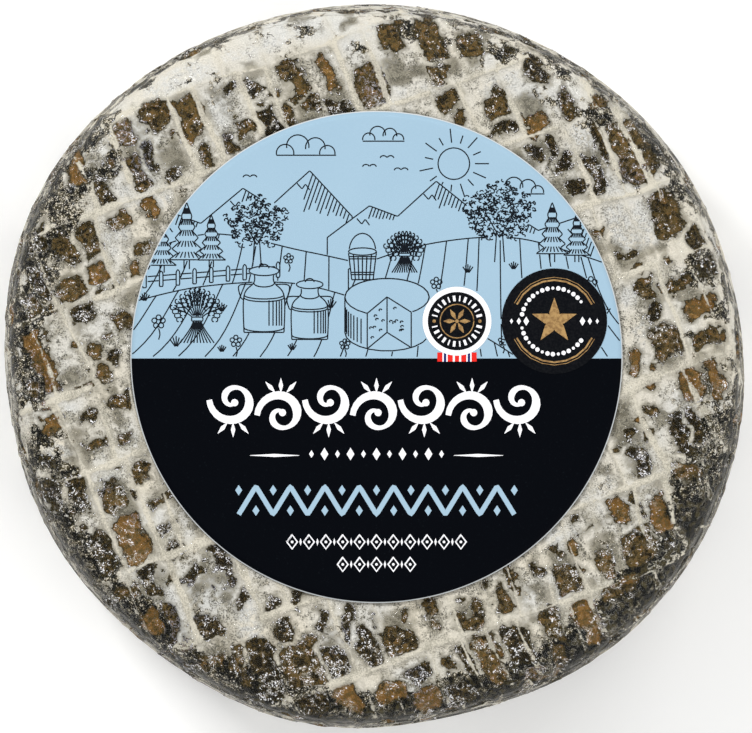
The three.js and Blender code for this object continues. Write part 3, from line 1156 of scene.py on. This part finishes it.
def rind_finish(settings):
    finish = Finish("mouldy_rind")
    wet, tone, mould, dirt, warmth, powder, bruise = (
        finish.field(name)
        for name in ("wet", "tone", "mould", "dirt", "warmth", "powder", "bruise")
    )
    coarse = finish.grain(1.5, 3)
    fine = finish.grain(0.4, 2)
    grit = fine.rise(0.35, 0.65)
    ragged = (coarse - 0.5) * 3.2 + (fine - 0.5) * 0.7
    ridge_depth = ridge_wire(finish) + (warmth - 0.43) * 1.1
    ridge_depth = ridge_depth + (dirt - 0.5) * 0.8 - powder * 0.7
    ridge = (ridge_depth + (coarse - 0.5) * 1.5).rise(-0.2, 0.3)
    beside_ridge = ridge_depth.rise(-2.2, 0)
    edge = wet + ragged
    inside = edge.rise(-0.1, 0.15)
    middle = edge.rise(0.1, 1.1)
    # halo: a soft dark ring round each sunken wet cell, partly grey rind showing through, partly
    # painted shade
    halo = edge.rise(-1.8, 0)

    # Dry mould: beige and cool grey, with dirt, smoky bruises and fine dark specks. Round each wet
    # cell a soft dark halo joins the bruises: partly grey rind showing through, partly painted
    # shade.
    dirty = (dirt + coarse - 0.5).rise(0.35, 0.95) * 0.9
    bruise_and_halo_shade = (bruise + ragged * 1.2).rise(-1.2, 1.6).most(halo * 0.8)
    smoke = finish.mix((coarse + fine - 0.5).rise(0.3, 0.65), settings.deep_bruise, settings.bruise)
    specks = fine.rise(0.52, 0.57) * (dirt + coarse + powder * 0.1).rise(0.85, 1.1)
    dry = finish.painted(
        finish.mix(warmth, settings.cream, settings.cool_white),
        (dirty, settings.dirty_cream),
        (bruise_and_halo_shade * 0.9, smoke),
        (powder * coarse.rise(0.3, 0.6) * 0.8, settings.cool_white),
        (specks * (0.85 - powder * 0.45), settings.speck),
        (grit * 0.22, settings.deep_bruise),
        (beside_ridge * 0.4, settings.ridge),
    )

    # Dark mould on the shoulder, in ragged patches whose share is partly painted shade, with pale
    # flecks that are partly cream rind and partly painted glints of the film
    dark = (mould + (coarse - 0.5) * 1.1 + (fine - 0.5) * 0.5).rise(0.4, 0.46)
    dark_mould = finish.mix(coarse.rise(0.45, 0.7), settings.dark_mould, settings.olive)
    pale_flecks_and_glints = (fine * 0.6 + coarse * 0.4).rise(0.57, 0.59) * (1.1 - mould).rise(0, 0.5)
    dry = finish.mix(dark, dry, finish.mix(pale_flecks_and_glints * 0.85, dark_mould, settings.cream))

    # Wet cells: olive and near black by their walls, which is partly painted shade in the sunken
    # cells; brown and amber lumps in the middle
    lump = finish.lumps(1.1)
    shade = finish.channel(lump.other("Color"), "Red")
    stops = (
        (0.22, settings.wet_black), (0.42, settings.wet_brown), (0.62, settings.wet_amber),
        (0.86, settings.wet_ochre),
    )
    depth = coarse * 0.6 + (fine - 0.5) * 0.6 + (shade - 0.5) * 0.25 + (tone - 0.5) * 0.34 + 0.1
    flesh = finish.add("ValToRGB", {"stops": stops}, depth)
    # wall: the cells' dark edges, partly olive rind, partly painted shade where the cell sinks
    wall = finish.mix(fine.rise(0.4, 0.62), settings.wet_black, settings.olive)
    # Painted reflection: a cool sheen of sky light on the wet film, mixed into the colour
    sheen = (warmth + (coarse - 0.5) * 1.5).rise(0.8, 0.95) * fine.rise(0.45, 0.6)
    # Painted highlights: white glints, in clusters and at the middles of some lumps, mixed into the
    # colour
    cluster = (coarse + dirt * 0.3 - tone * 0.08).rise(0.67, 0.73)
    drop_glints = (0.12 - lump).rise(-0.02, 0.02) * shade.rise(0.7, 0.8)
    glint = (fine.rise(0.54, 0.57) * cluster).most(drop_glints)
    flesh = finish.painted(
        wall, (middle, flesh), (sheen * 0.6, settings.sheen), (glint, settings.glint)
    )
    colour = finish.mix(inside, dry, flesh)

    # Ridges, and fine pale threads between them
    soiling = (fine - 0.5 + dirt * 0.4).rise(0.1, 0.4) * 0.8
    chalk = finish.mix(soiling, settings.ridge, settings.dirty_cream)
    threads = abs(coarse - 0.5).rise(0.03, 0.008) * dirt.rise(0.5, 0.75) * 0.7
    laid_bare = 1 - dark * (coarse + fine * 0.3).rise(0.56, 0.66)
    colour = finish.mix((ridge * laid_bare).most(threads), colour, chalk)

    wetness = inside.most(dark * 0.7) * (1 - ridge)
    height = (0.6 - lump) * inside * 0.3 + coarse * (0.28 + dark * 0.4) + fine * 0.26
    height = height + ridge_depth.rise(-0.7, 0.4) * 0.35
    return finish.coat(
        base_color=colour, roughness=0.62 - wetness * 0.36, normal=finish.bump(height),
        specular_ior_level=0.04,
    )


def film_finish(settings):
    finish = Finish("clear_film")
    x, y, z = finish.axes()
    radius = (x * x + y * y).root().most(0.02)
    round_wheel = finish.add(
        "CombineXYZ", None, x / radius * 0.1, y / radius * 0.1, (z - radius) * 0.16
    )
    on_shoulder = radius.rise(94 * MM, 99 * MM)
    pleats = abs(finish.grain(3, 1, at=round_wheel) - 0.5).rise(0.07, 0) * on_shoulder
    slack = finish.grain(7, 3)
    creases = abs(slack - 0.5).rise(0.012, 0)
    height = pleats * 0.14 + creases * 0.1 + slack * 0.5
    gloss = finish.add(
        "BsdfPrincipled", base_color=settings.film_tint, metallic=1, roughness=0.12,
        normal=finish.bump(height),
    )
    clear = finish.add("BsdfTransparent")
    share = finish.add("Fresnel", ior=1.2).least(0.014) + creases * 0.05
    return finish.show(finish.add("MixShader", None, share, clear, gloss))


def label_finish(settings):
    finish = Finish("printed_label")
    x, y, z = finish.axes()
    middle = LABEL_MIDDLE * MM
    from_middle = ((x - middle.x) * (x - middle.x) + (y - middle.y) * (y - middle.y)).root()
    fibre = finish.grain(0.5, 2) - 0.5
    blue = finish.mix(fibre * 0.5 + finish.grain(18, 1) * 0.5, settings.blue, settings.deep_blue)
    black = finish.mix(fibre.rise(0.16, 0.24) * 0.008, settings.black, settings.blue)
    edge = middle.y + settings.band_top
    colour = finish.mix((y + fibre * 0.00004).rise(edge - 0.03 * MM, edge + 0.03 * MM), black, blue)
    speck = finish.lumps(8)
    chance = finish.channel(speck.other("Color"), "Red")
    dust = (0.022 - speck).rise(0, 0.008) * chance.rise(0.7, 0.75)
    rim = from_middle.rise((LABEL_RADIUS - 0.35) * MM, (LABEL_RADIUS - 0.2) * MM)
    colour = finish.painted(colour, (dust * 0.3, settings.paper), (rim, settings.paper))
    return finish.coat(
        base_color=colour, roughness=0.5 + fibre * 0.2, specular_ior_level=0.015,
        normal=finish.bump(fibre * 0.02),
    )


def ink_finish(name, colour):
    """Print ink: the paper's fibre shows faintly in its colour and gloss."""
    finish = Finish(name)
    fibre = finish.grain(0.6, 2)
    colour = finish.mix(fibre.rise(0.35, 0.75) * 0.01, colour, (0.4, 0.4, 0.4))
    return finish.coat(
        base_color=colour, roughness=0.35 + fibre * 0.2, specular_ior_level=0.06
    )


def gold_finish(settings):
    """Bronze ink, a little uneven, with a metal sheen."""
    finish = Finish("gold_ink")
    grain = finish.grain(0.8, 3)
    colour = finish.mix(grain.rise(0.35, 0.65), settings.gold, settings.dark_gold)
    return finish.coat(base_color=colour, metallic=0.3, roughness=0.3 + grain * 0.2)


# ---------------------------------------------------------------- settings


def swatch(name, description, *levels):
    """A colour that the user can change, as a screen shows it."""
    return bpy.props.FloatVectorProperty(
        name=name, description=description, subtype="COLOR", default=screen(*levels)
    )


def round_steps(piece, default):
    return bpy.props.IntProperty(
        name="Turns", description=f"How many steps the {piece} has round the wheel",
        default=default, min=96, max=640,
    )


class RindSettings(bpy.types.PropertyGroup):
    turns: round_steps("rind", 640)
    lump_height: bpy.props.FloatProperty(
        name="Lump height", description="How far the wet cells' floors heave",
        default=0.22 * MM, unit="LENGTH",
    )
    ridge: swatch("Ridge", "The ridges", 206, 200, 184)
    cream: swatch("Cream", "Warm parts of the dry mould", 216, 208, 190)
    cool_white: swatch("Cool white", "Cool parts of the dry mould", 208, 208, 204)
    dirty_cream: swatch("Dirty cream", "Dirt in the dry mould", 152, 148, 134)
    bruise: swatch("Bruise", "Grey rind under thin mould", 144, 139, 122)
    deep_bruise: swatch("Deep bruise", "Olive grey rind that shines through", 76, 71, 55)
    speck: swatch("Speck", "Fine dark specks on the dry mould", 72, 71, 66)
    dark_mould: swatch("Dark mould", "Blue-black mould on the shoulder", 18, 18, 15)
    # Olive, with wet black, also darkens the wet cells' walls, which is partly painted shade.
    olive: swatch("Olive", "Olive rind by the cells' walls", 72, 65, 42)
    wet_black: swatch("Wet black", "Darkest parts of a wet cell", 30, 26, 15)
    wet_brown: swatch("Wet brown", "Brown parts of a wet cell", 91, 76, 44)
    wet_amber: swatch("Wet amber", "Amber parts of a wet cell", 116, 84, 41)
    wet_ochre: swatch("Wet ochre", "Lightest parts of a wet cell", 158, 127, 77)
    # Glint is a painted highlight in the wet cells' colour.
    glint: swatch("Glint", "Drops that catch the light", 240, 240, 242)
    # Sheen is a painted reflection in the wet cells' colour.
    sheen: swatch("Sheen", "Cool light on wet places", 150, 152, 165)


class FilmSettings(bpy.types.PropertyGroup):
    turns: round_steps("film", 400)
    film_tint: swatch("Tint", "Tint of the film's gloss", 250, 250, 250)


class LabelSettings(bpy.types.PropertyGroup):
    band_top: bpy.props.FloatProperty(
        name="Band top", description="Where the black half begins, above the label's middle",
        default=-0.4 * MM, unit="LENGTH",
    )
    blue: swatch("Blue", "The upper half", 157, 185, 203)
    deep_blue: swatch("Deep blue", "Darker parts of the upper half", 147, 176, 196)
    black: swatch("Black", "The lower half", 6, 8, 13)
    paper: swatch("Paper", "The label's cut edge", 206, 210, 212)
    line_ink: swatch("Line ink", "The picture's lines", 14, 20, 27)
    white_ink: swatch("White ink", "White ornaments", 240, 240, 243)
    gold: swatch("Gold", "Bronze ink of the seals", 182, 146, 92)
    dark_gold: swatch("Dark gold", "Darker parts of the bronze ink", 140, 106, 62)
    red: swatch("Red", "The ribbon", 222, 40, 34)
    navy: swatch("Navy", "Stripes of the ribbon", 28, 38, 96)


class StageSettings(bpy.types.PropertyGroup):
    floor: swatch("Floor", "Colour of the floor", 250, 250, 249)
    view_width: bpy.props.FloatProperty(
        name="View width", description="Width that the camera takes in",
        default=213.94 * MM, unit="LENGTH",
    )
    key_power: bpy.props.FloatProperty(
        name="Key light", description="Power of the main light", default=34, unit="POWER",
    )
    fill_power: bpy.props.FloatProperty(
        name="Fill light", description="Power of the light opposite it", default=26,
        unit="POWER",
    )
    sky: bpy.props.FloatProperty(
        name="Surroundings", description="Strength of the light from all round", default=0.58,
    )


# ---------------------------------------------------------------- operators


class CHEESE_OT_add_rind(bpy.types.Operator):
    """Adds the cheese with its ridged and mouldy rind"""

    bl_idname = "cheese.add_rind"
    bl_label = "Add rind"

    def execute(self, context):
        settings = context.scene.cheese_rind
        mesh, points, outward = smooth_wheel(settings.turns, RIND_STEPS)
        fields = rind_fields(points)
        lumps = settings.lump_height / MM * swell(points, 1.8, 7) * ramp(fields["wet"], 0, 1)
        sink = RIDGE_INSET + sink_of(fields, RIND_WALL) - lumps
        sink = sink + UNDER_LABEL_SINK * under_label(points)
        move_points(mesh, points - outward * sink[:, None])
        for name, values in fields.items():
            attribute = mesh.attributes.new(name, "FLOAT", "POINT")
            attribute.data.foreach_set("value", values.astype(np.float32))
        finish_piece(mesh, "rind", rind_finish(settings), "cheese_wheel")
        return {"FINISHED"}


class CHEESE_OT_add_film(bpy.types.Operator):
    """Adds the clear film that is drawn tight over the rind"""

    bl_idname = "cheese.add_film"
    bl_label = "Add film"

    def execute(self, context):
        settings = context.scene.cheese_film
        mesh, points, outward = smooth_wheel(settings.turns, FILM_STEPS)
        fields = rind_fields(points)
        closeness = 0.95 - 0.35 * ramp(points[:, 2], 82, 86)
        sink = FILM_INSET + closeness * sink_of(fields, FILM_WALL)
        sink = np.maximum(sink, 2 * FILM_INSET * under_label(points))
        move_points(mesh, points - outward * sink[:, None])
        finish_piece(mesh, "film", film_finish(settings), "cheese_wheel")
        return {"FINISHED"}


class CHEESE_OT_add_label(bpy.types.Operator):
    """Adds the round label that is stuck on top of the film"""

    bl_idname = "cheese.add_label"
    bl_label = "Add label"

    def execute(self, context):
        settings = context.scene.cheese_label
        shape = bmesh.new()
        add_run(shape, (0, LABEL_TOP), (LABEL_RADIUS, LABEL_TOP), 36)
        add_run(shape, (LABEL_RADIUS, LABEL_TOP), (LABEL_RADIUS, LABEL_FOOT), 1)
        add_run(shape, (LABEL_RADIUS, LABEL_FOOT), (0, LABEL_FOOT), 12)
        mesh = spun_mesh(shape, 360)
        points = mesh_points(mesh) + (*LABEL_MIDDLE, 0)
        points[:, 2] += label_lift(points[:, 0], points[:, 1])
        move_points(mesh, points)
        finish_piece(mesh, "paper_label", label_finish(settings), "label")
        return {"FINISHED"}


class CHEESE_OT_add_picture(bpy.types.Operator):
    """Prints a landscape on the label's upper half"""

    bl_idname = "cheese.add_picture"
    bl_label = "Print picture"

    def execute(self, context):
        settings = context.scene.cheese_label
        black = ink_finish("line_ink", settings.line_ink)
        print_piece(landscape().mesh(INK_THICKNESS), "print_picture", black)
        return {"FINISHED"}


class CHEESE_OT_add_ornaments(bpy.types.Operator):
    """Prints white and pale blue ornaments on the label's lower half"""

    bl_idname = "cheese.add_ornaments"
    bl_label = "Print ornaments"

    def execute(self, context):
        settings = context.scene.cheese_label
        white = ink_finish("white_ink", settings.white_ink)
        blue = ink_finish("blue_ink", settings.blue)
        print_piece(white_print().mesh(INK_THICKNESS), "print_white", white)
        print_piece(blue_print().mesh(INK_THICKNESS), "print_blue", blue)
        return {"FINISHED"}


class CHEESE_OT_add_seals(bpy.types.Operator):
    """Prints two round seals and a ribbon over the picture"""

    bl_idname = "cheese.add_seals"
    bl_label = "Print seals"

    def execute(self, context):
        settings = context.scene.cheese_label
        white = ink_finish("seal_white", settings.white_ink)
        black = ink_finish("seal_black", settings.black)
        gold = gold_finish(settings)
        ribbon_finishes = (
            ink_finish("ribbon_red", settings.red), white, ink_finish("ribbon_navy", settings.navy)
        )
        for layer, (ink, name, finish) in enumerate(
            zip(ribbon_inks(), ("ribbon_red", "ribbon_white", "ribbon_navy"), ribbon_finishes), 2
        ):
            print_piece(ink.mesh(layer * INK_LAYER), name, finish)
        x, y, radius = LEFT_SEAL
        print_piece(disc_mesh(x, y, radius, 5 * INK_LAYER), "seal_rim", white)
        print_piece(disc_mesh(x, y, radius - 1.5, 6 * INK_LAYER), "seal_left", black)
        print_piece(disc_mesh(*RIGHT_SEAL, 6 * INK_LAYER), "seal_right", black)
        for side, inks in (("left", left_seal_inks()), ("right", right_seal_inks())):
            for ink, name, finish in zip(inks, ("white", "gold"), (white, gold)):
                print_piece(ink.mesh(7 * INK_LAYER), f"seal_{side}_{name}", finish)
        return {"FINISHED"}


class CHEESE_OT_add_stage(bpy.types.Operator):
    """Adds the floor, the lights and the camera that looks straight down"""

    bl_idname = "cheese.add_stage"
    bl_label = "Add stage"

    def execute(self, context):
        settings = context.scene.cheese_stage
        scene = context.scene
        finish = Finish("pale_floor")
        shade = finish.grain(400, 2).rise(0.2, 0.8) * 0.06
        colour = finish.mix(shade, settings.floor, (0.8, 0.8, 0.8))
        shape = bmesh.new()
        bmesh.ops.create_grid(shape, x_segments=4, y_segments=4, size=4)
        mesh = mesh_from(shape)
        mesh.materials.append(finish.coat(
            base_color=colour, roughness=0.8, emission_color=(1, 1, 1), emission_strength=0.1,
        ))
        floor = bpy.data.objects.new("floor", mesh)
        scene.collection.objects.link(floor)

        self.add_light("key_light", (-1.3, 1.3, 1.6), 0.7, settings.key_power)
        self.add_light("fill_light", (1.5, -1.2, 1.6), 1.8, settings.fill_power)
        self.add_light("rim_light", (1, 1.5, 1.2), 1, settings.fill_power * 0.4)

        world = bpy.data.worlds.new("studio")
        world.use_nodes = True
        background = world.node_tree.nodes["Background"]
        background.inputs["Color"].default_value = (1, 1, 1, 1)
        background.inputs["Strength"].default_value = settings.sky
        scene.world = world
        scene.view_settings.view_transform = "Standard"

        camera = bpy.data.objects.new("camera", bpy.data.cameras.new("camera"))
        camera.data.type = "ORTHO"
        camera.data.ortho_scale = settings.view_width
        camera.location = (0.43 * MM, -0.14 * MM, 1.2)
        scene.collection.objects.link(camera)
        scene.camera = camera
        return {"FINISHED"}

    def add_light(self, name, place, size, power):
        light = bpy.data.lights.new(name, "AREA")
        light.shape = "SQUARE"
        light.size = size
        light.energy = power
        lamp = bpy.data.objects.new(name, light)
        lamp.location = place
        lamp.rotation_euler = (-Vector(place)).to_track_quat("-Z", "Y").to_euler()
        bpy.context.scene.collection.objects.link(lamp)


class CHEESE_PT_panel(bpy.types.Panel):
    """Lists the steps that build the cheese"""

    bl_idname = "CHEESE_PT_panel"
    bl_label = "Blue cheese"
    bl_space_type = "VIEW_3D"
    bl_region_type = "UI"
    bl_category = "Cheese"

    def draw(self, context):
        for operator in OPERATORS:
            self.layout.operator(operator.bl_idname)


SETTINGS = {
    "cheese_rind": RindSettings,
    "cheese_film": FilmSettings,
    "cheese_label": LabelSettings,
    "cheese_stage": StageSettings,
}
OPERATORS = (
    CHEESE_OT_add_stage,
    CHEESE_OT_add_rind,
    CHEESE_OT_add_film,
    CHEESE_OT_add_label,
    CHEESE_OT_add_picture,
    CHEESE_OT_add_ornaments,
    CHEESE_OT_add_seals,
)
CLASSES = (*SETTINGS.values(), *OPERATORS, CHEESE_PT_panel)


def register():
    for each in CLASSES:
        bpy.utils.register_class(each)
    for name, group in SETTINGS.items():
        setattr(bpy.types.Scene, name, bpy.props.PointerProperty(type=group))


def unregister():
    for name in SETTINGS:
        delattr(bpy.types.Scene, name)
    for each in reversed(CLASSES):
        bpy.utils.unregister_class(each)


def main():
    register()
    bpy.ops.cheese.add_stage()
    bpy.ops.cheese.add_rind()
    bpy.ops.cheese.add_film()
    bpy.ops.cheese.add_label()
    bpy.ops.cheese.add_picture()
    bpy.ops.cheese.add_ornaments()
    bpy.ops.cheese.add_seals()


if __name__ == "__main__":
    main()
